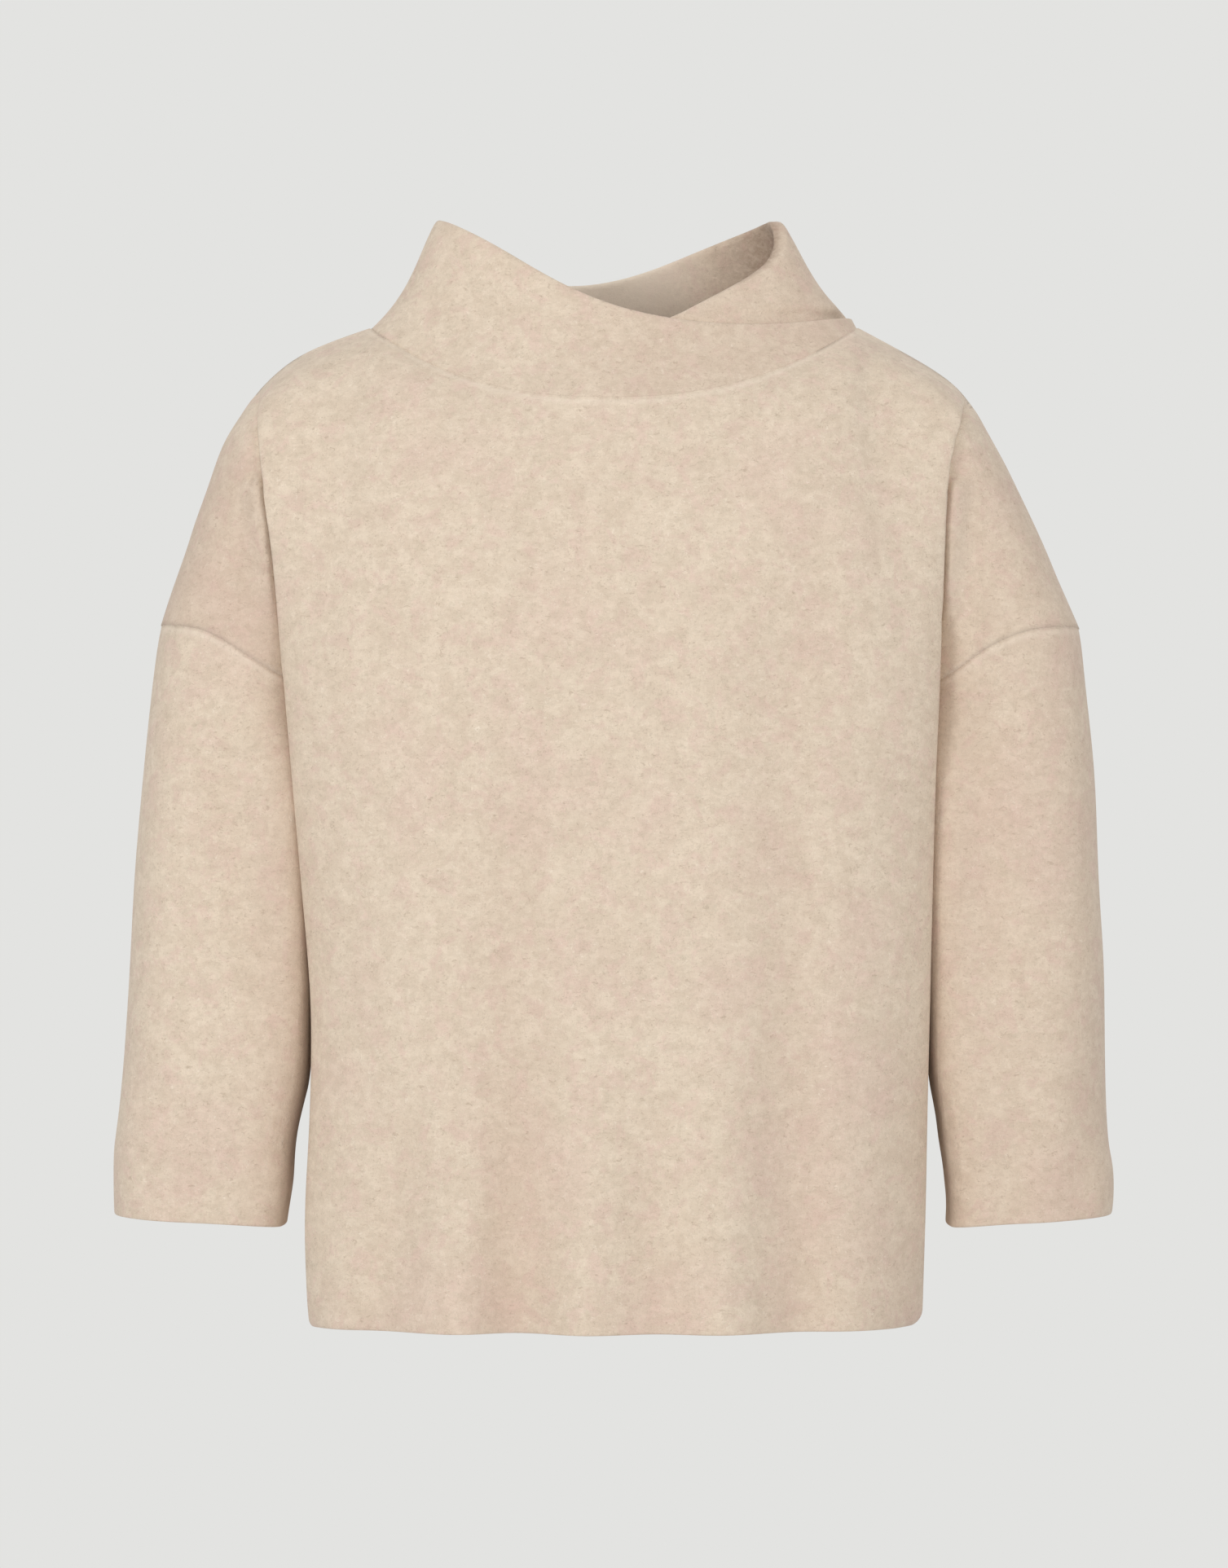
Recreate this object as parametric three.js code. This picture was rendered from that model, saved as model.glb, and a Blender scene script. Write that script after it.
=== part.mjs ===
// A boxy drop-shoulder sweater in felted wool, filled out with nobody in it, with a crossover collar.
// Millimetres, +Z up, front towards -Y. The origin is the middle of the neck base, between the shoulder points.
// The wearer's right is -X. Each cloth piece is an outer surface made from rings, then given its thickness.
import * as THREE from "three";

const clothWall = 2.5;
const collarWall = 4.4;
const seamPull = 0.17;
const cornerLevel = -213;
const underarmLevel = -335;
const hemLevel = -596;
const neckHalfWidth = 147;
const neckLevel = 1;
const shoulderY = 4;
const frontNeckDrop = 46.4;
const backNeckDrop = 17;
const frontNeckDepth = 89;
const backNeckDepth = 71;
const collarTopLevel = 67;
const collarTopHalfWidth = 102;
const collarTopHalfDepth = 46;
const collarTopShift = -5;
const underLayerInset = 5.5;
// The sleeve's section is rounder than a box and squarer than an oval: 2 would be an oval.
const armSquareness = 2.6;
// The over-piece's last stretch stands up straight instead of leaning in.
const overEndTurn = 26;
const collarColour = 0xd9c6b2;
const clothColour = 0xdcc9b5;

const sides = {
  right: { sign: -1, shoulderEnd: -37, neckPower: 2.6 },
  left: { sign: 1, shoulderEnd: -45, neckPower: 2.3 },
};

function table(names, rows) {
  return rows.map((row) => Object.fromEntries(names.split(" ").map((name, i) => [name, row[i]])));
}

// The sleeve's outer line, seen from the front, as a distance from the middle.
const armOutline = table("level right left", [
  [-540, 300.5, 298], [-520, 301.3, 301.2], [-505, 301.4, 301], [-492, 301.2, 298.4], [-478, 299, 297],
  [-448, 296, 296], [-390, 292, 295.5], [-331, 289, 292], [-272, 284, 290], [-213, 278, 284],
  [-184, 274, 281], [-154, 265, 268.5], [-135, 258, 261], [-115, 252, 252], [-95.5, 244.5, 242.5],
  [-80, 239.5, 235], [-66, 234, 227], [-56, 227, 221.5], [-46.5, 221, 216], [-37, 214, 209],
]);
// Half-widths of the sleeve's rings across and front to back, and the y of their middle.
const armRings = table("level right left depth middle", [
  [-540, 52, 49.5, 56, -1], [-505, 54.8, 51.5, 58, -1], [-478, 55, 51.5, 60, -1], [-448, 57, 53.7, 61, -1],
  [-390, 56.5, 55, 62, 0], [-335, 55, 54.5, 61, 0], [-272, 53, 53, 61, 1], [-213, 52, 52, 60, 2],
  [-100, 50, 50, 60, 4], [-54, 48, 48, 58, 4], [-37, 46, 46, 56, 4],
]);
// Where the body meets the sleeve's ring: degrees from the outer line round towards the body.
const creaseAngle = table("level right left", [
  [-335, 180, 180], [-315, 162, 164], [-290, 151, 156], [-262, 145, 152], [-235, 136, 144],
  [-213, 129.5, 138], [-179, 118.5, 129], [-145, 103, 110], [-120, 93.5, 99], [-95, 86, 89],
  [-70, 72, 72], [-54, 54.5, 52], [-45, 38, 0], [-37, 0, 0],
]);
// The body's own side below the underarm, pressed in a little by the sleeve.
const bodySide = table("level right left", [
  [-596, 174, 175], [-540, 176, 178], [-478, 175, 178.5], [-441, 174, 179], [-390, 173.5, 178.5], [-352, 174.5, 179],
  [-335, 179, 183],
]);
// The body's rounded edge in front of the sleeve.
const bodyEdge = table("level right left depth", [
  [-597, 181, 183.5, 53], [-588, 182.6, 184.5, 54], [-566, 183.7, 185, 54], [-536, 184.7, 186, 54],
  [-507, 183.7, 186.6, 54], [-478, 181.5, 187, 54], [-414, 180.4, 188.4, 54], [-340, 186, 190, 55],
  [-300, 189.3, 190.8, 57], [-262, 192.6, 191.8, 60], [-213, 196.6, 194, 63], [-179, 199.2, 194.8, 65],
  [-145, 202, 195.8, 67], [-115, 206, 197, 67], [-95, 209, 198.3, 65], [-70, 212.6, 203.5, 58],
  [-54, 213.8, 208.5, 48], [-42, 211.5, 209, 33], [-31, 208, 206, 5],
]);
// Depth of the body at its middle.
const bodyDepth = table("level front back", [
  [-597, 126, 114], [-450, 124, 109], [-335, 121, 105], [-213, 118, 108],
]);
// The armhole seam's fall, by how far across it is from the sleeve's outer line (0) to the crease (1).
const seamFall = table("inwards right left", [
  [0, 0, 0], [0.143, 0.02, -0.02], [0.305, 0.07, 0.01], [0.475, 0.229, 0.12], [0.6, 0.443, 0.25],
  [0.72, 0.63, 0.48], [0.86, 0.83, 0.79], [1, 1, 1],
]);
const seamTop = { right: -178, left: -180 };
// The shoulder seam, as a height for each distance from the middle.
const shoulderLine = table("across right left", [
  [147, 1, 1], [151, -0.6, -2], [163, -4.4, -7.2], [171, -7, -11.5], [193, -17, -24], [205, -27.5, -33], [216, -39, -46.5],
]);
// Columns of the body from its edge to its middle: share of the half-width low down, and the top's distance.
// From the neck point inwards the columns end on the neckline, eight to a quarter turn, as the collar's do.
const neckSteps = 8;
const shoulderColumns = table("share across", [[1, 209], [0.993, 203], [0.97, 190], [0.935, 169]]);
const neckColumns = [0.875, 0.79, 0.69, 0.58, 0.465, 0.35, 0.235, 0.12, 0].map((share, i) => ({
  share,
  across: neckHalfWidth * Math.cos((i * Math.PI) / (2 * neckSteps)),
}));
const bodyColumns = [...shoulderColumns, ...neckColumns];
// Soft hanging folds at the hem: place, drift upwards, half-width, depth (into the body) and height.
const hemFolds = {
  front: table("across drift width depth height", [
    [-160, 10, 14, -3, 110], [-136, 22, 20, 5, 170], [-88, 8, 20, -5, 150], [-52, 6, 21, 9, 200], [-14, 2, 20, -5, 150],
    [26, -2, 19, 5, 150], [67, -6, 22, -4, 140], [108, -8, 26, 6, 190],
  ]),
  back: table("across drift width depth height", [
    [-128, 10, 24, 7, 180], [-82, 6, 20, -4, 130], [-38, 3, 22, 6, 150], [8, 0, 24, -5, 170], [52, -4, 20, 8, 190],
    [96, -6, 22, -4, 120], [136, -8, 20, 5, 160],
  ]),
};
// Height of the collar's rim as a share of the full cone, by degrees of turn from the wearer's left shoulder.
const collarRim = table("turn share", [
  [0, 0.085], [13.5, 0.115], [31, 0.2], [43.5, 0.27], [54.5, 0.335], [65.5, 0.39], [79, 0.455], [87.5, 0.5],
  [95, 0.55], [106, 0.64], [115.5, 0.72], [132.5, 0.85], [165, 0.985], [180, 1], [195, 0.97], [210, 0.88],
  [225, 0.74], [240, 0.61], [257, 0.545], [270, 0.58], [280, 0.64], [293, 0.74], [307, 0.84], [320, 0.92],
  [338, 0.985], [360, 1], [372, 0.885], [381, 0.755], [392.5, 0.645], [407, 0.56], [417.5, 0.505], [425.5, 0.455],
  [433, 0.415], [450, 0.345], [470, 0.28], [500, 0.2], [517.5, 0.15],
]);

const lowRows = [-596, -593, -585, -568, -545, -520, -492, -462, -432, -402, -368, -335, -315, -290, -262, -235];
const highRows = [0, 0.11, 0.22, 0.33, 0.44, 0.55, 0.65, 0.74, 0.82, 0.89, 0.95, 1];
const lobeColumns = [0, 0.15, 0.3, 0.45, 0.58, 0.7, 0.8, 0.9];
const sleeveRows = [0, 0.03, 0.08, 0.14, 0.21, 0.28, 0.35, 0.42, 0.49, 0.56, 0.63, 0.7, 0.76, 0.82, 0.865, 0.89, 0.92, 0.96, 0.99, 1];
const collarRows = [0, 0.08, 0.2, 0.36, 0.54, 0.72, 0.88, 1];
const collarSteps = 46;

const mix = (a, b, t) => a + (b - a) * t;
const clamp = (v, low, high) => Math.min(high, Math.max(low, v));

// A smooth line through a table's column that never overshoots its values.
function along(rows, key, column) {
  const sorted = [...rows].sort((a, b) => a[key] - b[key]);
  const xs = sorted.map((row) => row[key]);
  const ys = sorted.map((row) => row[column]);
  const slopes = xs.slice(1).map((x, i) => (ys[i + 1] - ys[i]) / (x - xs[i]));
  const tangents = xs.map((_, i) => {
    if (i === 0) return slopes[0];
    if (i === xs.length - 1) return slopes[i - 1];
    return slopes[i - 1] * slopes[i] <= 0 ? 0 : 2 / (1 / slopes[i - 1] + 1 / slopes[i]);
  });
  return (x) => {
    const at = clamp(x, xs[0], xs.at(-1));
    let i = 0;
    while (i < xs.length - 2 && at > xs[i + 1]) i += 1;
    const step = xs[i + 1] - xs[i];
    const t = (at - xs[i]) / step;
    const keep = (1 + 2 * t) * (1 - t) ** 2;
    const gain = t * t * (3 - 2 * t);
    return keep * ys[i] + gain * ys[i + 1] + step * t * (1 - t) * ((1 - t) * tangents[i] - t * tangents[i + 1]);
  };
}

for (const [name, side] of Object.entries(sides)) {
  side.outline = along(armOutline, "level", name);
  side.radius = along(armRings, "level", name);
  side.crease = along(creaseAngle, "level", name);
  side.bodySide = along(bodySide, "level", name);
  side.bodyEdge = along(bodyEdge, "level", name);
  side.seamFall = along(seamFall, "inwards", name);
  side.shoulder = along(shoulderLine, "across", name);
  side.seamTop = seamTop[name];
  side.pointX = side.outline(side.shoulderEnd);
}
const armDepth = along(armRings, "level", "depth");
const armMiddle = along(armRings, "level", "middle");
const edgeDepth = along(bodyEdge, "level", "depth");
const rimShare = along(collarRim, "turn", "share");

// The cosine or sine of a turn, on the sleeve's squarer section.
function squared(value) {
  return Math.sign(value) * Math.abs(value) ** (2 / armSquareness);
}

// A point on the sleeve's form, by degrees from its outer line round the front.
function armPoint(side, degrees, level) {
  const turn = (degrees * Math.PI) / 180;
  const radius = side.radius(level);
  const across = side.outline(level) - radius + radius * squared(Math.cos(turn));
  return [side.sign * across, armMiddle(level) - armDepth(level) * squared(Math.sin(turn)), level];
}

// A level of the armhole seam where the body's crease is at the level given.
function seamLevel(side, round, creaseLevel, outerLevel) {
  const corner = (side.crease(cornerLevel) * Math.PI) / 180;
  const inwards = (1 - squared(Math.cos(round * corner))) / (1 - squared(Math.cos(corner)));
  return outerLevel + (creaseLevel - outerLevel) * side.seamFall(inwards);
}

function neckPoint(face, x) {
  const power = face.name === "back" ? 2.4 : sides[x < 0 ? "right" : "left"].neckPower;
  const share = Math.min(1, Math.abs(x) / neckHalfWidth);
  const drop = face.name === "back" ? backNeckDrop : frontNeckDrop;
  const depth = face.name === "back" ? backNeckDepth : frontNeckDepth;
  return [x, shoulderY + face.sign * depth * Math.sqrt(1 - share * share), neckLevel - drop * (1 - share ** power)];
}

function foldDepth(face, x, level) {
  let sum = 0;
  for (const fold of hemFolds[face.name]) {
    const up = (level - hemLevel) / fold.height;
    const fade = up < 1 ? (1 - up * up) ** 2 : 0;
    sum += fold.depth * fade * Math.exp(-(((x - fold.across - fold.drift * up) / fold.width) ** 2));
  }
  return sum;
}

// The body's line from its crease or side seam to its edge: a round turn in three steps.
function turnIn(deep, edge, t) {
  const bend = [deep[0], mix(deep[1], edge[1], 0.5), mix(deep[2], edge[2], 0.5)];
  return deep.map((v, i) => (1 - t) ** 2 * v + 2 * t * (1 - t) * bend[i] + t * t * edge[i]);
}

function faceY(face, y) {
  return face.sign < 0 ? y : 2 * armMiddle(-213) - y;
}

function deepPoint(face, side, level) {
  if (level < underarmLevel) return [side.sign * side.bodySide(level), armMiddle(level), level];
  const point = armPoint(side, side.crease(level), level);
  return [point[0], armMiddle(level) + face.sign * (armMiddle(level) - point[1]), level];
}

function edgePoint(face, side, level) {
  return [side.sign * side.bodyEdge(level), faceY(face, -edgeDepth(level)), level];
}

// A point between the body's edge (share 1) and its middle (share 0) at a level.
function bodyPoint(face, side, share, level) {
  const edge = edgePoint(face, side, level);
  const middle = face.sign * face.depth(level);
  const x = edge[0] * share;
  const bulge = (1 - share ** 2.8) ** 0.68;
  const fold = face.sign * -foldDepth(face, x, level) * Math.min(1, bulge * 1.6);
  return [x, mix(edge[1], middle, bulge) + fold, level];
}

function halfRowLow(face, side, level) {
  const deep = deepPoint(face, side, level);
  const edge = edgePoint(face, side, level);
  const turn = [0, 1 / 3, 2 / 3].map((t) => turnIn(deep, edge, t));
  return [...turn, ...bodyColumns.map((column) => bodyPoint(face, side, column.share, level))];
}

function topPoint(face, side, across) {
  if (across > neckHalfWidth + 0.01) return [side.sign * across, shoulderY, side.shoulder(across)];
  return neckPoint(face, side.sign * across);
}

// One column of the body above the corner of the armhole, at a height share from 0 to 1.
function highPoint(face, side, column, up) {
  const low = bodyPoint(face, side, column.share, cornerLevel);
  const scale = column.across > neckHalfWidth + 0.01 ? (side.pointX - 5 - 147) / 62 : 1;
  const across = column.across > neckHalfWidth + 0.01 ? 147 + (column.across - 147) * scale : column.across;
  const top = topPoint(face, side, across);
  const round = 1 + Math.min(1, (across / neckHalfWidth) ** 2);
  const fall = (1 - up * up) ** (1 / round);
  return [mix(low[0], top[0], up), mix(top[1], low[1], fall), mix(low[2], top[2], up)];
}

function halfRowHigh(face, side, up) {
  const deepLevel = mix(cornerLevel, side.shoulderEnd, up);
  const deep = deepPoint(face, side, deepLevel);
  const plain = highPoint(face, side, bodyColumns[0], up);
  const edge = edgePoint(face, side, plain[2]);
  if (up === 1) edge.splice(0, 2, plain[0], plain[1]);
  const shift = [edge[0] - plain[0], edge[1] - plain[1]];
  const row = bodyColumns.map((column) => {
    const point = highPoint(face, side, column, up);
    const weight = column.share ** 8;
    return [point[0] + shift[0] * weight, point[1] + shift[1] * weight, point[2]];
  });
  if (up === 1) {
    const end = armPoint(side, 0, side.shoulderEnd);
    const steps = [0.3, 0.65].map((t) => {
      const across = mix(side.pointX, Math.abs(row[0][0]), t);
      return [side.sign * across, shoulderY, side.shoulder(across)];
    });
    return [end, ...steps, ...row];
  }
  return [...[0, 1 / 3, 2 / 3].map((t) => turnIn(deep, row[0], t)), ...row];
}

// The part of the panel over the upper arm, from the sleeve's outer line to the crease.
function lobeRow(face, side, up) {
  const creaseLevel = mix(cornerLevel, side.shoulderEnd, up);
  const outerLevel = mix(side.seamTop, side.shoulderEnd, up);
  return lobeColumns.map((round) => {
    const level = seamLevel(side, round, creaseLevel, outerLevel);
    const point = armPoint(side, round * side.crease(creaseLevel), level);
    return [point[0], armMiddle(level) + face.sign * (armMiddle(level) - point[1]), level];
  });
}

function panelRows(face) {
  const rows = [];
  const join = (row, lobes) => {
    const gap = lobeColumns.map(() => null);
    const [right, left] = ["right", "left"].map((name) => row(sides[name]));
    const [outerRight, outerLeft] = lobes ? ["right", "left"].map((name) => lobes(sides[name])) : [gap, gap];
    rows.push([...outerRight, ...right, ...left.slice(0, -1).reverse(), ...outerLeft.slice().reverse()]);
  };
  for (const level of lowRows) join((side) => halfRowLow(face, side, level));
  for (const up of highRows)
    join((side) => halfRowHigh(face, side, up), (side) => lobeRow(face, side, up));
  return rows;
}

// The sleeve: one column for each point of the armhole seam, from the seam to the cuff.
function sleeveRowsOf(side) {
  const half = lobeColumns.map((round) => ({
    degrees: round * side.crease(cornerLevel),
    level: seamLevel(side, round, cornerLevel, side.seamTop),
  }));
  for (const level of [cornerLevel, -235, -262, -290, -315, underarmLevel]) {
    half.push({ degrees: side.crease(level), level });
  }
  const round = [...half, ...half.slice(1, -1).reverse().map((c) => ({ degrees: 360 - c.degrees, level: c.level }))];
  return sleeveRows.map((down) => round.concat(round[0]).map((column) => {
    const turn = (column.degrees * Math.PI) / 180;
    const cuff = -531.5 - 3.2 * (1 - Math.cos(turn));
    const level = mix(column.level, cuff, down);
    return armPoint(side, column.degrees, level);
  }));
}

// An outer surface: points shared where grids meet, and its triangles.
class Surface {
  constructor() {
    this.points = [];
    this.triangles = [];
    this.index = new Map();
  }

  static key(point) {
    return point.map((v) => Math.round(v * 2000)).join(" ");
  }

  add(point) {
    const key = Surface.key(point);
    if (!this.index.has(key)) {
      this.index.set(key, this.points.length);
      this.points.push(new THREE.Vector3(...point));
    }
    return this.index.get(key);
  }

  grid(rows) {
    const ids = rows.map((row) => row.map((point) => (point ? this.add(point) : -1)));
    for (let r = 0; r + 1 < ids.length; r += 1) {
      for (let c = 0; c + 1 < ids[r].length; c += 1) {
        const [a, b, d, e] = [ids[r][c], ids[r][c + 1], ids[r + 1][c + 1], ids[r + 1][c]];
        if (Math.min(a, b, d, e) < 0) continue;
        for (const corners of [[a, b, d], [a, d, e]]) {
          if (new Set(corners).size === 3) this.triangles.push(corners);
        }
      }
    }
    return this;
  }

  // Turns the triangles so that they face away from a line inside the form.
  faceAwayFrom(middle) {
    let sum = 0;
    for (const corners of this.triangles) {
      const centre = this.centre(corners);
      sum += this.normal(corners).dot(centre.clone().sub(middle(centre)));
    }
    if (sum < 0) this.triangles.forEach((corners) => corners.reverse());
    return this;
  }

  centre([a, b, c]) {
    return this.points[a].clone().add(this.points[b]).add(this.points[c]).divideScalar(3);
  }

  normal([a, b, c]) {
    const one = this.points[b].clone().sub(this.points[a]);
    return one.cross(this.points[c].clone().sub(this.points[a])).multiplyScalar(0.5);
  }
}

// Directions into the cloth, shared by surfaces that meet, so that the walls of a seam stay parallel.
function inwardSteps(surfaces) {
  const sums = new Map();
  for (const surface of surfaces) {
    for (const corners of surface.triangles) {
      const normal = surface.normal(corners).normalize();
      corners.forEach((id, i) => {
        const at = surface.points[id];
        const [ahead, behind] = [1, 2].map((n) => surface.points[corners[(i + n) % 3]].clone().sub(at));
        const angle = ahead.angleTo(behind);
        const key = Surface.key(at.toArray());
        if (!sums.has(key)) sums.set(key, { normal: new THREE.Vector3(), angle: 0 });
        sums.get(key).normal.addScaledVector(normal, angle);
        sums.get(key).angle += angle;
      });
    }
  }
  const steps = new Map();
  for (const [key, { normal, angle }] of sums) {
    const mean = normal.length() / angle;
    steps.set(key, normal.normalize().multiplyScalar(-1 / Math.max(0.55, mean)));
  }
  return steps;
}

// Gives a surface its thickness and draws its edges back by half a seam gap.
function thicken(surface, steps, wall) {
  const edges = new Map();
  for (const [a, b, c] of surface.triangles) {
    for (const [from, to] of [[a, b], [b, c], [c, a]]) edges.set(from + " " + to, [from, to]);
  }
  const border = [...edges.values()].filter(([from, to]) => !edges.has(to + " " + from));
  const inside = surface.points.map(() => new THREE.Vector3());
  for (const corners of surface.triangles) {
    const centre = surface.centre(corners);
    const weight = surface.normal(corners).length();
    for (const id of corners) inside[id].add(centre.clone().sub(surface.points[id]).normalize().multiplyScalar(weight));
  }
  const tangents = new Map();
  for (const [from, to] of border) {
    const step = surface.points[to].clone().sub(surface.points[from]).normalize();
    for (const id of [from, to]) tangents.set(id, (tangents.get(id) ?? new THREE.Vector3()).add(step));
  }
  const outer = [];
  const inner = [];
  surface.points.forEach((point, id) => {
    const step = steps.get(Surface.key(point.toArray()));
    const moved = point.clone();
    if (tangents.has(id)) {
      const pull = inside[id].clone();
      pull.addScaledVector(step, -pull.dot(step) / step.lengthSq());
      const tangent = tangents.get(id).normalize();
      pull.addScaledVector(tangent, -pull.dot(tangent)).normalize();
      moved.addScaledVector(pull, seamPull);
    }
    outer.push(moved);
    inner.push(moved.clone().addScaledVector(step, wall));
  });
  const count = outer.length;
  const triangles = [...surface.triangles];
  for (const [a, b, c] of surface.triangles) triangles.push([a + count, c + count, b + count]);
  // The edge's squares are cut from their lower outer corner, so that the two walls of a seam match.
  for (const [from, to] of border) {
    if (surface.points[from].z > surface.points[to].z) {
      triangles.push([to, from, from + count], [to, from + count, to + count]);
    } else {
      triangles.push([to, from, to + count], [from, from + count, to + count]);
    }
  }
  return geometryOf([...outer, ...inner], triangles);
}

function geometryOf(points, triangles) {
  const geometry = new THREE.BufferGeometry();
  geometry.setAttribute("position", new THREE.Float32BufferAttribute(points.flatMap((p) => p.toArray()), 3));
  geometry.setIndex(triangles.flat());
  geometry.computeVertexNormals();
  return geometry;
}

// The collar's cone at a turn in degrees: its foot on the neckline and its full height.
function collarPoint(turn, share, inset) {
  const angle = (-turn * Math.PI) / 180;
  const face = Math.sin(angle) < 0 ? faces.front : faces.back;
  const foot = neckPoint(face, neckHalfWidth * Math.cos(angle));
  const top = [
    collarTopShift + collarTopHalfWidth * Math.cos(angle),
    shoulderY + collarTopHalfDepth * Math.sin(angle),
    collarTopLevel,
  ];
  const settled = mix(0.35, 1, clamp(turn / overEndTurn, 0, 1));
  const lean = (share + share * (1 - share) * (0.95 - 0.9 * share)) * settled;
  const x = mix(foot[0], top[0], lean);
  const y = mix(foot[1], top[1], lean);
  const reach = Math.hypot(x, y - shoulderY);
  const keep = 1 - inset / reach;
  return [x * keep, shoulderY + (y - shoulderY) * keep, mix(foot[2], top[2], share) + 0.45];
}

function collarSurface() {
  const last = collarRim.at(-1).turn;
  const rows = collarRows.map((up) => {
    const row = [];
    for (let step = 0; step <= collarSteps; step += 1) {
      const turn = (last * step) / collarSteps;
      const inset = underLayerInset * along(table("turn inset", [[325, 0], [357, 1], [last, 1]]), "turn", "inset")(turn);
      row.push(collarPoint(turn, up * rimShare(turn), inset));
    }
    return row;
  });
  return new Surface().grid(rows);
}

// Leans the walls of the collar's foot halfway to those of the body's neckline, so that the seam stays open.
function footSteps(surface, own) {
  const neckline = [faces.front, faces.back].flatMap((face) => panelRows(face).at(-1))
    .filter((point) => Math.abs(point[0]) <= neckHalfWidth + 0.01)
    .map((point) => ({ point: new THREE.Vector3(...point), step: steps.get(Surface.key(point)) }));
  for (let id = 0; id <= collarSteps; id += 1) {
    const point = surface.points[id];
    const near = neckline.toSorted((a, b) => a.point.distanceTo(point) - b.point.distanceTo(point)).slice(0, 2);
    const weights = near.map((n) => 1 / (n.point.distanceTo(point) + 0.01));
    const body = near.reduce((sum, n, i) => sum.addScaledVector(n.step, weights[i]), new THREE.Vector3());
    const step = own.get(Surface.key(point.toArray()));
    step.normalize().add(body.normalize()).normalize();
  }
  return own;
}

const faces = {
  front: { name: "front", sign: -1, depth: along(bodyDepth, "level", "front") },
  back: { name: "back", sign: 1, depth: along(bodyDepth, "level", "back") },
};
const bodyMiddle = (centre) => new THREE.Vector3(0, 6, centre.z);
const surfaces = {
  front: new Surface().grid(panelRows(faces.front)).faceAwayFrom(bodyMiddle),
  back: new Surface().grid(panelRows(faces.back)).faceAwayFrom(bodyMiddle),
};
for (const name of ["left", "right"]) {
  const side = sides[name];
  const middle = (centre) => new THREE.Vector3(side.sign * (side.outline(centre.z) - side.radius(centre.z)), 6, centre.z);
  surfaces["sleeve_" + name] = new Surface().grid(sleeveRowsOf(side)).faceAwayFrom(middle);
}
const steps = inwardSteps(Object.values(surfaces));

const group = new THREE.Group();
function addMesh(name, geometry, colour) {
  const mesh = new THREE.Mesh(geometry, new THREE.MeshStandardMaterial({ color: colour, roughness: 0.95 }));
  mesh.name = name;
  group.add(mesh);
}
for (const [name, surface] of Object.entries(surfaces)) addMesh(name, thicken(surface, steps, clothWall), clothColour);
const collar = collarSurface().faceAwayFrom((centre) => new THREE.Vector3(0, shoulderY, centre.z));
addMesh("collar", thicken(collar, footSteps(collar, inwardSteps([collar])), collarWall), collarColour);

export default group;
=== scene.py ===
import math

import bmesh
import bpy
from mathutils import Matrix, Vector, noise
from mathutils.kdtree import KDTree


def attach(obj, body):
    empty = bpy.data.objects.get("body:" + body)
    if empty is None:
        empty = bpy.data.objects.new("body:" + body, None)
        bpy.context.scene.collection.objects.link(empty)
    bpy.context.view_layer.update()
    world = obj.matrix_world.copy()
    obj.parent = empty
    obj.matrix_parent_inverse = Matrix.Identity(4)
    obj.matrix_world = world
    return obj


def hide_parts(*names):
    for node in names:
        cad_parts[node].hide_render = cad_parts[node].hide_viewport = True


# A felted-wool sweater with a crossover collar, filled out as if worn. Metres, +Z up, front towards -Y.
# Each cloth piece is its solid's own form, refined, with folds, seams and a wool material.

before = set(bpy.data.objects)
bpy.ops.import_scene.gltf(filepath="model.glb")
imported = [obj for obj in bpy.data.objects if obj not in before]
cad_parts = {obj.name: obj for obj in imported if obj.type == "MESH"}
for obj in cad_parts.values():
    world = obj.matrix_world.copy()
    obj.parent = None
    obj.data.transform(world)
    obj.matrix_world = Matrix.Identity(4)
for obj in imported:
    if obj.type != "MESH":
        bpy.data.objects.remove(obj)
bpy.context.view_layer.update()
scene = bpy.context.scene


# A soft step from 0 at low to 1 at high; low may be the larger one.
def smooth(low, high, value):
    t = min(1.0, max(0.0, (value - low) / (high - low)))
    return t * t * (3 - 2 * t)


def blend(first, second, share):
    return first + (second - first) * share


# The camera is level and straight in front, and sees frameHeight from top to bottom at the sweater.
camera = {"distance": 4.5, "height": -0.2732, "frameHeight": 0.9432, "sensor": 36}
cameraPlace = (0, -camera["distance"], camera["height"])
bpy.ops.object.camera_add(location=cameraPlace, rotation=(math.pi / 2, 0, 0))
scene.camera = bpy.context.object
scene.camera.data.sensor_width = camera["sensor"]
scene.camera.data.lens = camera["sensor"] * camera["distance"] / camera["frameHeight"]
print("camera done")


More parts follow.
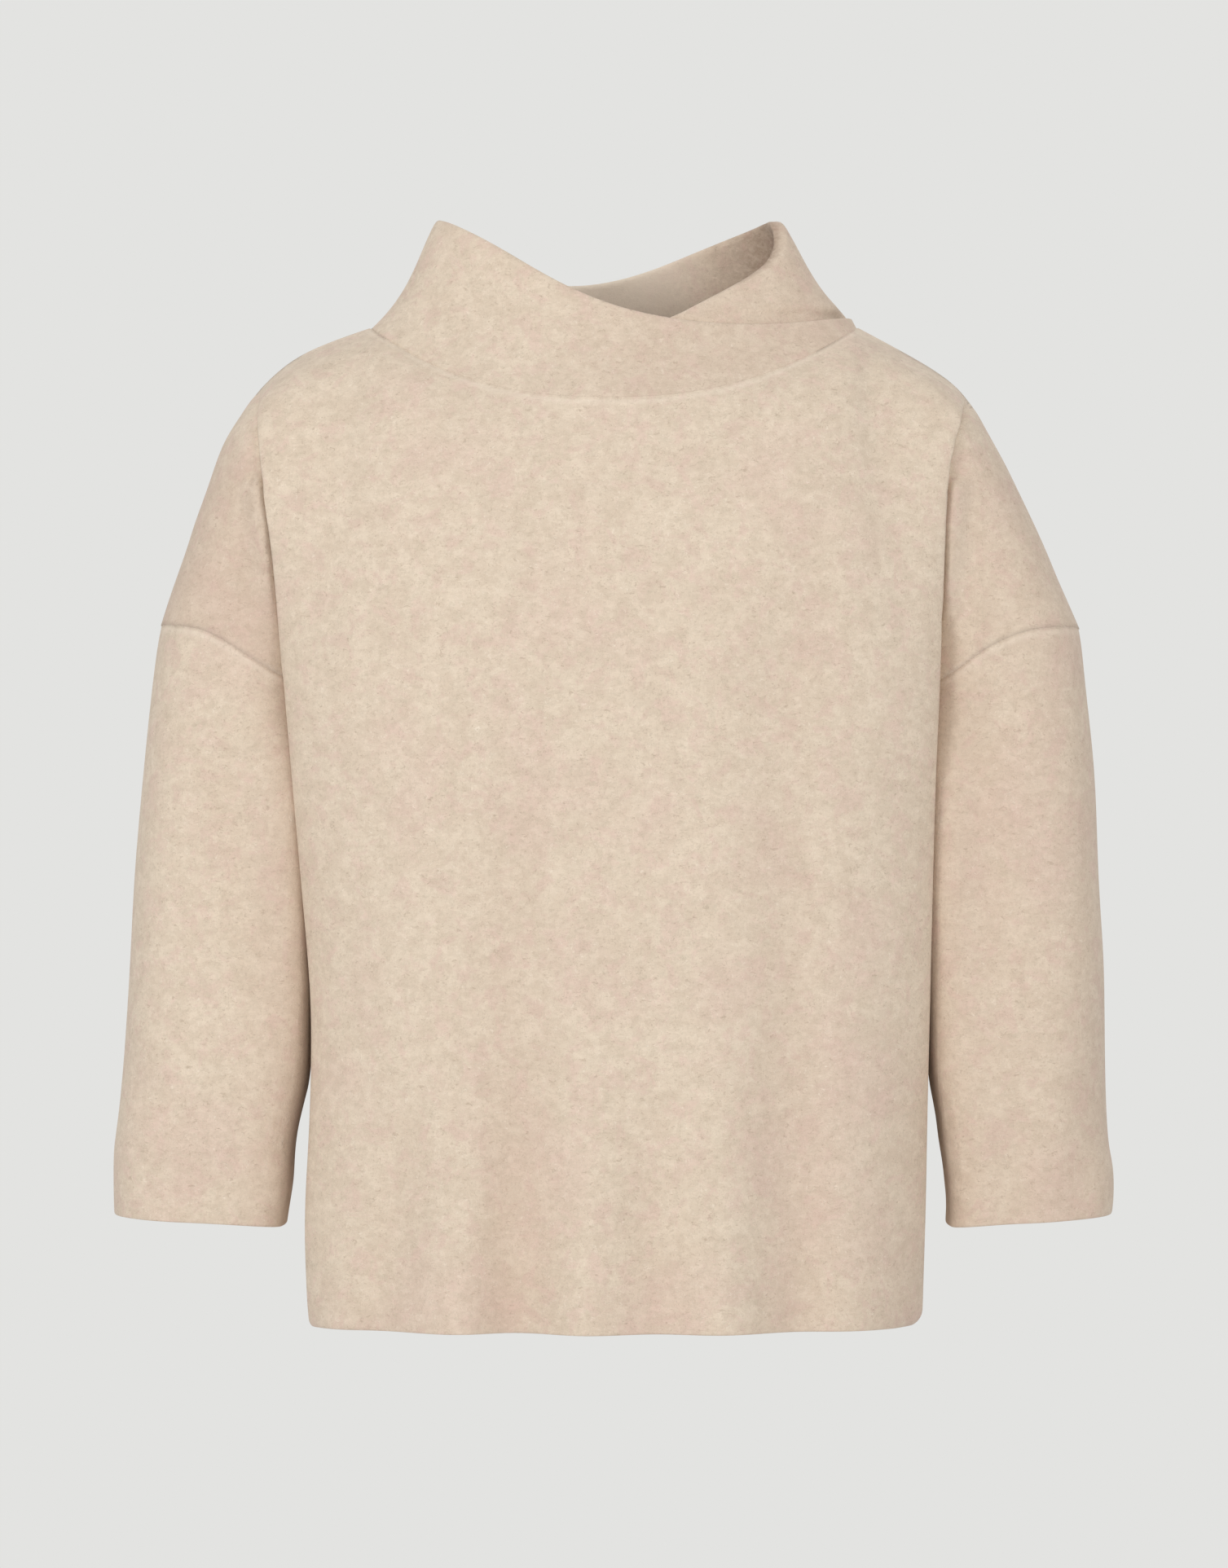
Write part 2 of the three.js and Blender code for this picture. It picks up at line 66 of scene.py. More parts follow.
# A node's output that can be used in expressions, each of which adds its nodes to the tree.
class Maths:
    def __init__(self, tree, socket):
        self.tree = tree
        self.socket = socket

    def node(self, kind, inputs, out=0, **settings):
        made = self.tree.nodes.new(kind)
        for name, value in settings.items():
            setattr(made, name, value)
        for name, value in inputs.items():
            if isinstance(value, Maths):
                self.tree.links.new(value.socket, made.inputs[name])
            else:
                made.inputs[name].default_value = value
        return Maths(self.tree, made.outputs[out])

    def math(self, operation, other=0.0, swap=False):
        first, second = (other, self) if swap else (self, other)
        return self.node("ShaderNodeMath", {0: first, 1: second}, operation=operation)

    def __add__(self, other):
        return self.math("ADD", other)

    def __radd__(self, other):
        return self.math("ADD", other, True)

    def __sub__(self, other):
        return self.math("SUBTRACT", other)

    def __rsub__(self, other):
        return self.math("SUBTRACT", other, True)

    def __mul__(self, other):
        return self.math("MULTIPLY", other)

    def __rmul__(self, other):
        return self.math("MULTIPLY", other, True)

    def __abs__(self):
        return self.math("ABSOLUTE")

    def between(self, low, high):
        ramp = {"Value": self, "From Min": low, "From Max": high}
        return self.node("ShaderNodeMapRange", ramp, interpolation_type="SMOOTHSTEP")

    def noise(self, scale, detail, roughness=0.5, distortion=0.0):
        values = {"Scale": scale, "Detail": detail, "Roughness": roughness, "Distortion": distortion}
        return self.node("ShaderNodeTexNoise", {"Vector": self, **values})

    def placed(self, start, turn=(0, 0, 0), stretch=(1, 1, 1)):
        values = {"Location": start, "Rotation": turn, "Scale": stretch}
        return self.node("ShaderNodeMapping", {"Vector": self, **values})

    # The place, moved a little this way and that.
    def wobbled(self, scale, amount):
        values = {"Vector": self, "Scale": scale, "Detail": 2}
        drift = self.node("ShaderNodeTexNoise", values, out="Color")
        drift = drift.node("ShaderNodeVectorMath", {0: drift, "Scale": amount}, operation="SCALE")
        return drift.node("ShaderNodeVectorMath", {0: self, 1: drift}, operation="ADD")

    # One value for each small tuft of felted fibres.
    def tufts(self, scale):
        value = self.node("ShaderNodeTexVoronoi", {"Vector": self, "Scale": scale}, out="Color")
        return value.between(0.3, 0.7)

    # Thin wandering lines where a noise passes its middle value.
    def threads(self, scale, width, distortion):
        return 1 - abs(self.noise(scale, 1, 0.5, distortion) - 0.5).between(0, width)

    def mixed(self, first, second):
        node = self.tree.nodes.new("ShaderNodeMix")
        node.data_type = "RGBA"
        self.tree.links.new(self.socket, node.inputs[0])
        for i, colour in ((6, first), (7, second)):
            if isinstance(colour, Maths):
                self.tree.links.new(colour.socket, node.inputs[i])
            else:
                node.inputs[i].default_value = (*colour, 1)
        return Maths(self.tree, node.outputs[2])


def linear(red, green, blue):
    return tuple(((v / 255 + 0.055) / 1.055) ** 2.4 for v in (red, green, blue))


wool = {
    "cream": linear(228, 211, 190),
    "sand": linear(222, 204, 183),
    "pink": linear(222, 195, 180),
    "grey": linear(201, 188, 166),
    "dark": linear(172, 152, 131),
    "light": linear(244, 230, 212),
    # painted shade, for the folds, the caps, the sleeves and the collar's outside
    "paintedShade": linear(178, 140, 124),
    # the painted shade inside the collar, darkest on the left
    "inside": linear(128, 96, 74),
    "roughness": 0.89,
    "fleckRoughness": 0.06,
    "sheen": 0.16,
    "sheenRoughness": 0.6,
    "sheenTint": (1, 0.95, 0.88, 1),
    "specular": 0.2,
    "bump": 0.42,
    "bumpDistance": 0.0014,
    "relief": {
        "nap": 0.35,
        "fleck": 0.25,
        "thread": 0.12,
        "blotch": 0.35,
        "ridge": 0.08,
        "pucker": 0.5,
    },
    "ridgeRise": (0.6, 2.4),  # millimetres from the seam, here and in the next two
    "ridgeFall": (3.0, 6.5),
    "puckerEnd": (2, 11),
}
# Where each pattern starts and how it is turned and stretched, then the values that its method takes.
woolNoises = {
    "patch": {"start": (0, 0, 0), "values": (70, 3, 0.6, 0.3)},
    "blush": {"start": (3, 1, 2), "values": (75, 3, 0.65, 0.6)},
    "wash": {"start": (2, 5, 7), "values": (14, 2, 0.5, 0.4)},
    "blotch": {"start": (7, 4, 1), "stretch": (0.8, 0.8, 1.2), "values": (230, 2, 0.55, 0.8)},
    "fleck": {"start": (1, 9, 4), "stretch": (0.75, 0.75, 1.2), "values": (430, 2, 0.6, 1.0)},
    "sparse": {"start": (8, 8, 1), "values": (150, 1)},
    "pucker": {"start": (6, 3, 5), "values": (170, 1)},
    "strand": {
        "start": (2, 2, 2),
        "turn": (0.3, 0.5, 0.4),
        "stretch": (1, 1, 0.3),
        "values": (900, 2, 0.6, 1.2),
    },
    "cross": {
        "start": (4, 1, 6),
        "turn": (0.2, 0.9, 0.8),
        "stretch": (0.3, 1, 1),
        "values": (820, 2, 0.6, 1.2),
    },
}
woolTufts = {
    "wide": {"start": (4, 6, 2), "stretch": (0.8, 0.8, 1.15), "wobble": (160, 0.009), "scale": 170},
    "fine": {"start": (9, 2, 5), "stretch": (0.8, 0.8, 1.15), "wobble": (300, 0.005), "scale": 340},
}
woolThreads = {
    "light": {"start": (5, 2, 8), "values": (260, 0.026, 1.6)},
    "dark": {"start": (2, 7, 3), "values": (300, 0.024, 1.8)},
}


def woolMaterial(name):
    material = bpy.data.materials.new(name)
    material.use_nodes = True
    tree = material.node_tree
    shader = tree.nodes["Principled BSDF"]
    place = Maths(tree, tree.nodes.new("ShaderNodeTexCoord").outputs["Object"])

    def laid(row):
        return place.placed(row["start"], row.get("turn", (0, 0, 0)), row.get("stretch", (1, 1, 1)))

    grain = {key: laid(row).noise(*row["values"]) for key, row in woolNoises.items()}
    tufts = {}
    for key, row in woolTufts.items():
        tufts[key] = laid(row).wobbled(*row["wobble"]).tufts(row["scale"])
    threads = {key: laid(row).threads(*row["values"]) for key, row in woolThreads.items()}
    marks = {}
    for mark in ("seamDistance", "paintedShade", "inside"):
        marks[mark] = Maths(tree, tree.nodes.new("ShaderNodeAttribute").outputs["Fac"])
        marks[mark].socket.node.attribute_name = mark
    nap = (grain["strand"] + grain["cross"]) * 0.5
    offSeam = marks["seamDistance"]
    ridge = offSeam.between(*wool["ridgeRise"]) * (1 - offSeam.between(*wool["ridgeFall"]))
    pucker = grain["pucker"] * (1 - offSeam.between(*wool["puckerEnd"]))

    # Each colour is laid over the ones before it, through its mask and up to its share.
    colour = grain["patch"].between(0.4, 0.6).mixed(wool["sand"], wool["cream"])
    layers = [
        ("pink", grain["blush"].between(0.48, 0.66), 0.6),
        ("pink", grain["wash"].between(0.5, 0.7), 0.4),
        ("grey", tufts["wide"], 0.13),
        ("dark", tufts["fine"], 0.12),
        ("grey", grain["blotch"].between(0.55, 0.72), 0.3),
        ("dark", grain["fleck"].between(0.6, 0.74), 0.45),
        ("light", threads["light"] * grain["sparse"].between(0.45, 0.6), 0.5),
        ("dark", threads["dark"] * grain["sparse"].between(0.55, 0.42), 0.4),
        ("dark", (1 - nap).between(0.48, 0.66), 0.2),
        # A painted highlight along the ridge beside a seam.
        ("light", ridge, 0.22),
    ]
    for tone, mask, share in layers:
        colour = (mask * share).mixed(colour, wool[tone])
    # Painted shade darkens the folds, the caps, the sleeves' inner sides and the collar's outside.
    colour = marks["paintedShade"].mixed(colour, wool["paintedShade"])
    # Below zero the inside mark lightens the cloth as painted light, and above it the cloth darkens in
    # mottles of painted shade.
    colour = (marks["inside"] * -1.0).mixed(colour, wool["light"])
    mottle = 0.55 + grain["blotch"].between(0.35, 0.65) * 0.35 + tufts["fine"] * 0.1
    colour = (marks["inside"] * mottle).mixed(colour, wool["inside"])

    relief = wool["relief"]
    height = nap * relief["nap"] + grain["fleck"] * relief["fleck"]
    height = height + threads["light"] * relief["thread"] + grain["blotch"] * relief["blotch"]
    height = height + ridge * relief["ridge"] + pucker * relief["pucker"]
    bumpValues = {"Height": height, "Strength": wool["bump"], "Distance": wool["bumpDistance"]}
    bump = place.node("ShaderNodeBump", bumpValues)
    rough = grain["fleck"] * wool["fleckRoughness"] + wool["roughness"]
    for socket, value in (("Base Color", colour), ("Normal", bump), ("Roughness", rough)):
        tree.links.new(value.socket, shader.inputs[socket])
    shader.inputs["Sheen Weight"].default_value = wool["sheen"]
    shader.inputs["Sheen Roughness"].default_value = wool["sheenRoughness"]
    shader.inputs["Sheen Tint"].default_value = wool["sheenTint"]
    shader.inputs["Specular IOR Level"].default_value = wool["specular"]
    return material


woolCloth = woolMaterial("feltedWool")
print("material done")

pieces = {
    "front": {"name": "frontPanel", "flat": (0.80, 0.62), "area": 0.325, "levels": 2},
    "back": {"name": "backPanel", "flat": (0.80, 0.64), "area": 0.315, "levels": 2},
    "sleeve_right": {"name": "sleeveRight", "flat": (0.36, 0.37), "area": 0.115, "levels": 2},
    "sleeve_left": {"name": "sleeveLeft", "flat": (0.36, 0.37), "area": 0.115, "levels": 2},
    "collar": {"name": "collarWrap", "flat": (1.05, 0.12), "area": 0.054, "levels": 2},
}
panels = ("frontPanel", "backPanel")
# Limits for making one point of two, and one face of two triangles by how flat and square it is.
weld = {"apart": 2e-5, "flat": 0.9, "square": 1.2}
seam = {
    "reach": 0.0014,  # pieces are drawn together where their solids are up to this far apart
    "touching": 0.0003,  # what is sewn is closer than this afterwards
    "sharpTurn": 1.0,  # an edge of a solid that turns more than this keeps a crease
    "sharpEdge": 0.9,  # and so does the shading, after refining
    "sample": 0.0008,
    "hemTop": -0.57,
    "foldTop": (-0.06, -0.11),
    "armFold": 0.8,  # how firm the fold beside the arm is, from 0 to 1
    "turnedEdge": 0.12,
    "armholeTop": -0.12,
    "noRidge": 20.0,  # millimetres that keep a side of a seam out of the ridge's reach
}


def copyOf(node, name):
    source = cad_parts[node]
    piece = source.copy()
    piece.data = source.data.copy()
    piece.name = name
    scene.collection.objects.link(piece)
    piece.parent = None
    mesh = bmesh.new()
    mesh.from_mesh(piece.data)
    bmesh.ops.remove_doubles(mesh, verts=mesh.verts, dist=weld["apart"])
    limits = {"angle_face_threshold": weld["flat"], "angle_shape_threshold": weld["square"]}
    bmesh.ops.join_triangles(mesh, faces=mesh.faces, **limits)
    bmesh.ops.recalc_face_normals(mesh, faces=mesh.faces)
    mesh.to_mesh(piece.data)
    mesh.free()
    piece.data.materials.clear()
    piece.data.materials.append(woolCloth)
    return piece


def setMark(cloth, name, values):
    mark = cloth.data.attributes.new(name, "FLOAT", "POINT")
    mark.data.foreach_set("value", values)


def treeOf(points):
    tree = KDTree(len(points))
    for i, point in enumerate(points):
        tree.insert(point, i)
    tree.balance()
    return tree


# The points of all the pieces but one, for finding its neighbours.
def othersOf(cloth, cloths):
    others = [other for other in cloths if other is not cloth]
    return treeOf([vertex.co for other in others for vertex in other.data.vertices])


# Points on a seam move to the middle between their pieces.
def closeSeams(cloths):
    places = {}
    for cloth in cloths:
        others = othersOf(cloth, cloths)
        for vertex in cloth.data.vertices:
            near = [found[0] for found in others.find_range(vertex.co, seam["reach"])]
            if near:
                middle = (vertex.co + sum(near, Vector())) / (len(near) + 1)
                places[cloth.name, vertex.index] = middle
    for cloth in cloths:
        for vertex in cloth.data.vertices:
            if (cloth.name, vertex.index) in places:
                vertex.co = places[cloth.name, vertex.index]
        markCreases(cloth, {index for name, index in places if name == cloth.name})


# Seam edges stay sharp so that they meet, the fold beside the arm is firm, and turned edges are round.
def markCreases(cloth, sewn):
    mesh = bmesh.new()
    mesh.from_mesh(cloth.data)
    crease = mesh.edges.layers.float.new("crease_edge")
    for edge in mesh.edges:
        if len(edge.link_faces) < 2 or edge.calc_face_angle() < seam["sharpTurn"]:
            continue
        top = max(vertex.co.z for vertex in edge.verts)
        if all(vertex.index in sewn for vertex in edge.verts):
            edge[crease] = 1.0
        elif cloth.name in panels and top > seam["hemTop"]:
            edge[crease] = seam["armFold"] * smooth(*seam["foldTop"], top)
        else:
            edge[crease] = seam["turnedEdge"]
    mesh.to_mesh(cloth.data)
    mesh.free()


def refine(piece, levels):
    bpy.context.view_layer.objects.active = piece
    bpy.ops.object.select_all(action="DESELECT")
    piece.select_set(True)
    piece.modifiers.new("refined", "SUBSURF").levels = levels
    bpy.ops.object.modifier_apply(modifier="refined")
    bpy.ops.object.shade_smooth_by_angle(angle=seam["sharpEdge"])


# Writes on each point how far it is from the nearest seam, in millimetres.
def markSeams(cloths):
    for cloth in cloths:
        others = othersOf(cloth, cloths)
        gaps = [others.find(vertex.co)[2] for vertex in cloth.data.vertices]
        touching = {i for i, gap in enumerate(gaps) if gap < seam["touching"]}
        points = []
        for edge in cloth.data.edges:
            if edge.vertices[0] in touching and edge.vertices[1] in touching:
                start, end = [cloth.data.vertices[i].co for i in edge.vertices]
                count = max(1, round((end - start).length / seam["sample"]))
                points += [start.lerp(end, i / count) for i in range(count + 1)]
        seamLine = treeOf(points)
        # Only the sleeves' side of an armhole and the body's side of the neck stand up as a ridge.
        distances = []
        for vertex in cloth.data.vertices:
            besideArmhole = cloth.name in panels and vertex.co.z < seam["armholeTop"]
            away = seam["noRidge"] if besideArmhole or cloth.name == "collarWrap" else 0.0
            distances.append(seamLine.find(vertex.co)[2] * 1000 + away)
        setMark(cloth, "seamDistance", distances)


# A soft fold runs from one (across, height) place to another. It has a half-width, a depth at each end
# and a length over which it fades out. A negative depth is a ridge.
def fold(start, end, width, depth, fade):
    return {"start": start, "end": end, "width": width, "depth": depth, "fade": fade}


folds = {
    "front": [
        fold((-0.058, -0.62), (-0.064, -0.27), width=0.021, depth=(0.013, 0.003), fade=0.12),
        fold((0.106, -0.62), (0.100, -0.20), width=0.024, depth=(0.012, 0.003), fade=0.14),
        fold((-0.140, -0.62), (-0.118, -0.45), width=0.020, depth=(0.007, 0.002), fade=0.07),
        fold((0.024, -0.62), (0.020, -0.45), width=0.018, depth=(0.006, 0.002), fade=0.07),
        fold((-0.018, -0.62), (-0.014, -0.42), width=0.017, depth=(-0.005, -0.001), fade=0.1),
        fold((-0.098, -0.62), (-0.092, -0.46), width=0.017, depth=(-0.004, -0.001), fade=0.1),
        fold((0.064, -0.62), (0.062, -0.43), width=0.018, depth=(-0.004, -0.001), fade=0.1),
        fold((0.180, -0.63), (0.186, -0.40), width=0.028, depth=(0.012, 0.002), fade=0.1),
        fold((0.098, -0.22), (0.130, -0.09), width=0.020, depth=(0.003, 0.002), fade=0.06),
        fold((-0.045, -0.16), (0.050, -0.17), width=0.016, depth=(0.0012, 0.0012), fade=0.05),
    ],
    "back": [
        fold((-0.122, -0.62), (-0.104, -0.33), width=0.023, depth=(0.012, 0.003), fade=0.11),
        fold((-0.034, -0.62), (-0.030, -0.41), width=0.020, depth=(0.008, 0.001), fade=0.09),
        fold((0.054, -0.62), (0.046, -0.25), width=0.023, depth=(0.013, 0.003), fade=0.13),
        fold((0.132, -0.62), (0.118, -0.42), width=0.019, depth=(0.007, 0.001), fade=0.08),
        fold((0.008, -0.62), (0.008, -0.44), width=0.019, depth=(-0.005, -0.001), fade=0.1),
        fold((-0.080, -0.16), (0.070, -0.18), width=0.024, depth=(0.003, 0.002), fade=0.07),
    ],
    "sleeve_right": [
        fold((-0.226, -0.27), (-0.207, -0.41), width=0.015, depth=(0.004, 0.003), fade=0.08),
        fold((-0.302, -0.43), (-0.262, -0.47), width=0.012, depth=(0.003, 0.002), fade=0.04),
        fold((-0.250, -0.55), (-0.246, -0.47), width=0.018, depth=(0.003, 0.001), fade=0.05),
    ],
    "sleeve_left": [
        fold((0.214, -0.25), (0.222, -0.40), width=0.014, depth=(0.004, 0.002), fade=0.07),
        fold((0.300, -0.41), (0.272, -0.55), width=0.018, depth=(0.005, 0.005), fade=0.05),
        fold((0.232, -0.55), (0.238, -0.46), width=0.014, depth=(0.003, 0.001), fade=0.05),
    ],
}


# Every fold sways a little along its length, and comes in over a short stretch at its start.
foldRun = {"sway": 0.003, "swayAcross": 40, "swayAlong": 14, "leadIn": 0.03, "reach": 3}


def foldDepth(x, z, rows):
    total = 0.0
    for row in rows:
        (x0, z0), (x1, z1) = row["start"], row["end"]
        length = math.hypot(x1 - x0, z1 - z0)
        along = ((x - x0) * (x1 - x0) + (z - z0) * (z1 - z0)) / length
        drift = noise.noise(Vector((x0 * foldRun["swayAcross"], along * foldRun["swayAlong"], 0)))
        off = ((x - x0) * (z1 - z0) - (z - z0) * (x1 - x0)) / length + foldRun["sway"] * drift
        beyond = along < -foldRun["leadIn"] or along > length + row["fade"]
        if beyond or abs(off) > foldRun["reach"] * row["width"]:
            continue
        depth = blend(*row["depth"], min(1.0, max(0.0, along / length)))
        half = row["fade"] / 2
        ends = smooth(-foldRun["leadIn"], 0.0, along)
        ends *= 1 - smooth(length - half, length + half, along)
        total += depth * ends * math.exp(-((off / row["width"]) ** 2))
    return total


# The fold line between the body and the arm: height, and how far across on the right and on the left.
armCrease = [
    (-0.600, 0.181, 0.184),
    (-0.536, 0.185, 0.186),
    (-0.414, 0.180, 0.188),
    (-0.340, 0.186, 0.190),
    (-0.262, 0.193, 0.192),
    (-0.179, 0.199, 0.195),
    (-0.115, 0.206, 0.197),
    (-0.070, 0.213, 0.203),
    (-0.030, 0.214, 0.209),
]


def creaseAt(x, z):
    side = 1 if x < 0 else 2
    low = max((row for row in armCrease if row[0] <= z), default=armCrease[0])
    high = min((row for row in armCrease if row[0] > z), default=armCrease[-1])
    share = (z - low[0]) / (high[0] - low[0]) if high is not low else 0.0
    return blend(low[side], high[side], share)


# Folds get painted shade by their depth: so much for each metre, and no more than the most.
shades = {"fold": 13.0, "most": 0.2}
# The caps over the arms lie outside the fold line and have no folds. Beside the line a cap comes
# forward, so that the line is a narrow slit. Each pair is where something starts and where it is full.
cap = {
    "edge": (-0.001, 0.003),
    "bottom": (-0.36, -0.33),
    "push": 0.008,
    "pushEdge": (-0.002, 0.002),
    "pushWidth": (0.016, 0.002),
    "behind": (0.006, 0.012),  # behind the fold line
    "offMiddle": (0.01, 0.03),  # from the plane between front and back
    "low": (-0.192, -0.15),
    "high": (-0.05, -0.12),
    # Painted shade on the caps, on the right and on the left.
    "shade": (0.17, 0.12),  # not such a pair, but on the right and on the left
    "shadeTop": (-0.06, -0.09),
}
# The fold line's height, and how far it stands from the plane between front and back.
edgeDepth = [(-0.26, 0.060), (-0.179, 0.065), (-0.115, 0.067), (-0.07, 0.058), (-0.054, 0.048)]
# The hem's rounded corners: bottom and radius on the right and on the left.
hemCorner = {"bottom": (-0.5985, -0.597), "radius": (0.007, 0.011), "width": 0.022}


# Folds press a panel inwards, which is +Y on the front and -Y on the back.
def foldPanel(cloth, rows, inwards):
    paintedShade = []
    for vertex in cloth.data.vertices:
        x, y, z = vertex.co
        side = 0 if x < 0 else 1
        crease = creaseAt(x, z)
        capStart, capFull = [crease + edge for edge in cap["edge"]]
        onCap = smooth(capStart, capFull, abs(x)) * smooth(*cap["bottom"], z)
        depth = (1 - onCap) * foldDepth(x, z, rows)
        vertex.co.y = y + inwards * depth
        edge = min(edgeDepth, key=lambda row: abs(row[0] - z))[1]
        beside = abs(x) - crease
        push = smooth(*cap["pushEdge"], beside) * smooth(*cap["pushWidth"], beside)
        push *= smooth(*cap["behind"], edge - abs(y)) * smooth(*cap["offMiddle"], abs(y))
        push *= smooth(*cap["low"], z) * smooth(*cap["high"], z)
        vertex.co.y -= inwards * cap["push"] * push
        # The caps get painted shade, and the folds painted shade by their depth.
        shade = cap["shade"][side] * onCap * smooth(*cap["shadeTop"], z)
        paintedShade.append(min(shades["most"], max(0.0, depth) * shades["fold"]) + shade)
        radius = hemCorner["radius"][side]
        low = min(1.0, max(0.0, 1 - (z - hemCorner["bottom"][side]) / radius))
        corner = smooth(crease - hemCorner["width"], crease, abs(x))
        vertex.co.x -= math.copysign(radius * (1 - math.sqrt(1 - low * low)) * corner, x)
    setMark(cloth, "paintedShade", paintedShade)


# A sleeve lies against the body: below its top, its inner corners are squarer than the solid's.
sleeve = {
    "plain": 2.6,  # how square the solid is across, where 2 is an ellipse
    "square": 4.6,  # and how square it becomes
    "top": (-0.30, -0.215),
    "sideFade": 0.02,  # nothing moves midway between front and rear, and all of it this far away
    # Painted shade on the sleeve's inner side, and all round.
    "shade": {"sleeve_right": (0.2, 0.0), "sleeve_left": (0.06, 0.09)},  # inner side, and all round
    "shadeAcross": (0.1, 0.9),
    "ring": 0.012,
}


def shapeSleeve(cloth, node):
    # The sleeve's sides at each height.
    rings = {}
    for vertex in cloth.data.vertices:
        rings.setdefault(round(vertex.co.z / sleeve["ring"]), []).append(vertex.co.copy())
    sides = {}
    for level, points in rings.items():
        near = [p for step in (-1, 0, 1) for p in rings.get(level + step, [])]
        xs, ys = [p.x for p in near], [p.y for p in near]
        sides[level] = (min(xs), max(xs), min(ys), max(ys))
    paintedShade = []
    for vertex in cloth.data.vertices:
        x, y, z = vertex.co
        left, right, front, rear = sides[round(z / sleeve["ring"])]
        middle, half, depth = (left + right) / 2, (right - left) / 2, (rear - front) / 2
        across = min(1.0, max(-1.0, (middle - x) / half * math.copysign(1, middle)))
        centre = (front + rear) / 2
        sideways = min(1.0, abs(y - centre) / sleeve["sideFade"])
        keep = (1 - smooth(*sleeve["top"], z)) * sideways
        if across > 0:
            plain = (1 - across ** sleeve["plain"]) ** (1 / sleeve["plain"])
            square = (1 - across ** sleeve["square"]) ** (1 / sleeve["square"])
            vertex.co.y += math.copysign((square - plain) * depth * keep, y - centre)
        pressed = foldDepth(x, z, folds[node])
        vertex.co.y -= math.copysign(pressed * sideways, y - centre)
        # Painted shade on the inner side and all round, and in the folds by their depth.
        inner, even = sleeve["shade"][node]
        shade = inner * smooth(*sleeve["shadeAcross"], across) + even
        paintedShade.append(min(shades["most"], max(0.0, pressed) * shades["fold"]) + shade)
    setMark(cloth, "paintedShade", paintedShade)


# The collar's left peak stands wider than the solid's. Its inside goes from painted light on the right
# to painted shade on the left.
collar = {
    "across": (0.045, 0.095),
    "overEnd": (0.003, 0.009),
    "low": (0.0060, -0.018),  # the height where it starts, beside the over-piece and behind its end
    "high": (0.0135, 0.014),  # and where it is full
    "outer": 0.0088,  # how far the cloth's outer side moves, and its inner side
    "inner": 0.0045,
    "innerTurn": (0.15, -0.35),
    "middle": (0.0, 0.004),
    # Painted light on the right, below 0, and painted shade on the left.
    "inside": (-0.6, 0.62),  # shading on the right and on the left, where less than 0 is lighter
    "insideAcross": (0.015, 0.10),
    # Painted shade on the collar's outside, towards the left.
    "outside": 0.13,  # shading on the left
    "outsideAcross": (-0.06, 0.03),
}


def shapeCollar(cloth):
    inside = []
    normals = [vertex.normal.copy() for vertex in cloth.data.vertices]
    for vertex, normal in zip(cloth.data.vertices, normals):
        x, y, z = vertex.co
        outwards = Vector((x - collar["middle"][0], y - collar["middle"][1], 0)).normalized()
        inner = smooth(*collar["innerTurn"], normal.dot(outwards))
        inside.append(inner * blend(*collar["inside"], smooth(*collar["insideAcross"], x)))
        move = blend(collar["outer"], collar["inner"], inner)
        # Beside the over-piece only what stands above its rim moves, and behind its end more of it.
        behind = smooth(*collar["overEnd"], y)
        low, high = blend(*collar["low"], behind), blend(*collar["high"], behind)
        vertex.co.x += move * smooth(*collar["across"], x) * smooth(low, high, z)
    setMark(cloth, "inside", inside)
    # Painted shade on the outside, towards the left.
    across = [smooth(*collar["outsideAcross"], vertex.co.x) for vertex in cloth.data.vertices]
    setMark(cloth, "paintedShade", [collar["outside"] * share for share in across])


made = {node: copyOf(node, piece["name"]) for node, piece in pieces.items()}
closeSeams(list(made.values()))
for node, piece in pieces.items():
    refine(made[node], piece["levels"])
    print(piece["name"], len(made[node].data.polygons), "faces")
markSeams(list(made.values()))
foldPanel(made["front"], folds["front"], 1)
foldPanel(made["back"], folds["back"], -1)
shapeSleeve(made["sleeve_right"], "sleeve_right")
shapeSleeve(made["sleeve_left"], "sleeve_left")
shapeCollar(made["collar"])
print("folds done")

for node, piece in pieces.items():
    cloth = made[node]
    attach(cloth, "root")
    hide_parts(node)
    surface = sum(face.area for face in cloth.data.polygons)
    print(piece["name"], "half surface", round(surface / 2, 4))


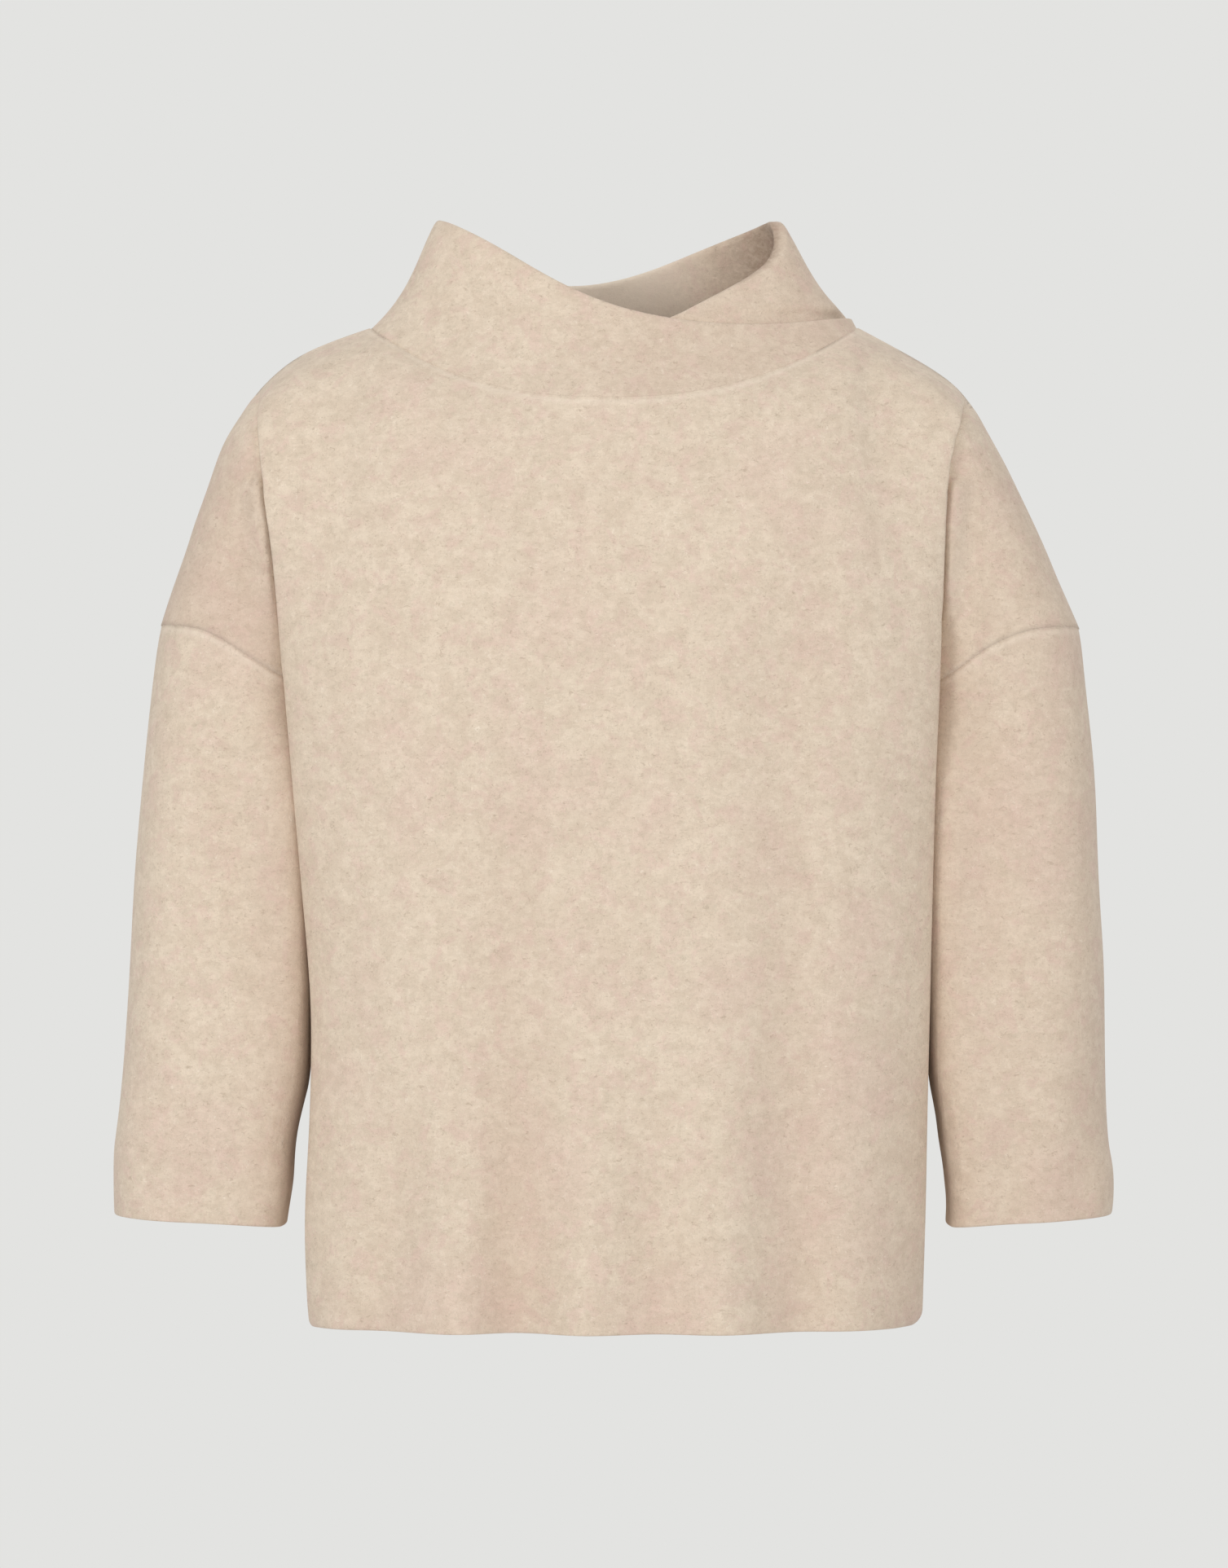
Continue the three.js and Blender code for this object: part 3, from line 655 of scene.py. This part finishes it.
# The stage: a plain pale room, seen by the camera alone, and soft light from all sides.
room = {
    "radius": 7.0,
    "around": 48,
    "rings": 24,
    "colour": (*linear(227, 227, 225), 1),
    "daylight": 0.65,
}
lamps = {
    "keyLight": {"place": (-2.2, -3.4, 0.1), "aim": (0, 0, -0.3), "size": 1.2, "power": 32},
    "fillLight": {"place": (1.9, -3.6, -0.2), "aim": (0, 0, -0.3), "size": 1.8, "power": 16},
    "frontLight": {"place": (0.1, -4.2, 0.7), "aim": (0, 0, -0.2), "size": 0.8, "power": 24},
    "topLight": {"place": (-0.5, -2.2, 2.6), "aim": (0, 0, -0.1), "size": 1.2, "power": 7},
    "backLight": {"place": (0.4, 2.3, 1.8), "aim": (0, 0, -0.25), "size": 1.6, "power": 10},
}


def backdrop():
    bpy.ops.object.select_all(action="DESELECT")
    sphere = {"segments": room["around"], "ring_count": room["rings"], "radius": room["radius"]}
    bpy.ops.mesh.primitive_uv_sphere_add(**sphere)
    ball = bpy.context.object
    ball.name = "backdrop"
    material = bpy.data.materials.new("paleGrey")
    material.use_nodes = True
    shader = material.node_tree.nodes["Principled BSDF"]
    shader.inputs["Base Color"].default_value = (0, 0, 0, 1)
    shader.inputs["Roughness"].default_value = 1
    shader.inputs["Specular IOR Level"].default_value = 0
    shader.inputs["Emission Color"].default_value = room["colour"]
    shader.inputs["Emission Strength"].default_value = 1
    ball.data.materials.append(material)
    ball.visible_diffuse = False
    ball.visible_glossy = False
    ball.visible_shadow = False


def lamp(name, place, aim, size, power):
    bpy.ops.object.light_add(type="AREA", location=place)
    light = bpy.context.object
    light.name = name
    light.data.shape = "DISK"
    light.data.size = size
    light.data.energy = power
    light.rotation_euler = (Vector(aim) - Vector(place)).to_track_quat("-Z", "Y").to_euler()


backdrop()
for name, values in lamps.items():
    lamp(name, **values)
scene.world = bpy.data.worlds.new("softRoom")
scene.world.use_nodes = True
daylight = scene.world.node_tree.nodes["Background"]
daylight.inputs["Color"].default_value = (1, 1, 1, 1)
daylight.inputs["Strength"].default_value = room["daylight"]
scene.view_settings.view_transform = "Standard"
print("stage done")
